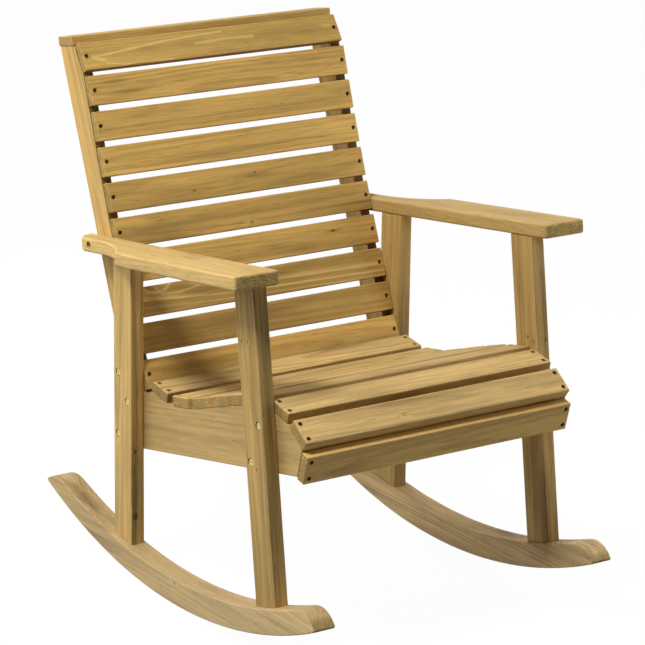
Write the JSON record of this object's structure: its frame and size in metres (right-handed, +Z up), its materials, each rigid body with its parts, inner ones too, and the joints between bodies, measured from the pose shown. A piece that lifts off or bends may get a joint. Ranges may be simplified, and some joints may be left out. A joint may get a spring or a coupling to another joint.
{
  "type": "rocking chair",
  "caption": "Slatted wooden rocking chair: dished slat seat with rolled front, reclined slat back, flat armrests and curved rockers, bolted and screwed together.",
  "frame": {"origin": "on the floor, in the middle of the chair's bounding box from left to right and front to back", "axes": "+X to the right seen from the front, +Y to the back, +Z up; the chair is at rest on its rockers"},
  "size_m": [0.6984, 0.8852, 0.8885],
  "materials": {
    "rocker_wood": "matt stained softwood",
    "leg_wood": "matt stained softwood",
    "armrest_wood": "matt stained softwood",
    "seat_rail_wood": "matt stained softwood",
    "upright_wood": "matt stained softwood",
    "seat_slat_wood": "matt stained softwood",
    "back_slat_wood": "matt stained softwood",
    "dowel_wood": "matt stained softwood",
    "screw_steel": "dark plated",
    "bolt_steel": "yellow zinc plated"
  },
  "bodies": {
    "root": {"armrest_dowels": "dowel_wood", "armrest_left": "armrest_wood", "armrest_right": "armrest_wood", "back_slat_01": "back_slat_wood", "back_slat_02": "back_slat_wood", "back_slat_03": "back_slat_wood", "back_slat_04": "back_slat_wood", "back_slat_05": "back_slat_wood", "back_slat_06": "back_slat_wood", "back_slat_07": "back_slat_wood", "back_slat_08": "back_slat_wood", "back_slat_09": "back_slat_wood", "back_slat_10": "back_slat_wood", "back_top_cap": "back_slat_wood", "back_upright_left": "upright_wood", "back_upright_right": "upright_wood", "cross_rail_dowels": "dowel_wood", "frame_bolts": "bolt_steel", "frame_nuts": "bolt_steel", "frame_washers": "bolt_steel", "front_apron": "seat_slat_wood", "front_cross_rail": "seat_rail_wood", "front_leg_left": "leg_wood", "front_leg_right": "leg_wood", "rear_leg_left": "leg_wood", "rear_leg_right": "leg_wood", "rocker_left": "rocker_wood", "rocker_right": "rocker_wood", "rocker_screws": "screw_steel", "seat_side_rail_left": "seat_rail_wood", "seat_side_rail_right": "seat_rail_wood", "seat_slat_01": "seat_slat_wood", "seat_slat_02": "seat_slat_wood", "seat_slat_03": "seat_slat_wood", "seat_slat_04": "seat_slat_wood", "seat_slat_05": "seat_slat_wood", "seat_slat_06": "seat_slat_wood", "seat_slat_07": "seat_slat_wood", "seat_slat_08": "seat_slat_wood", "slat_screws": "screw_steel"}
  },
  "joints": []
}
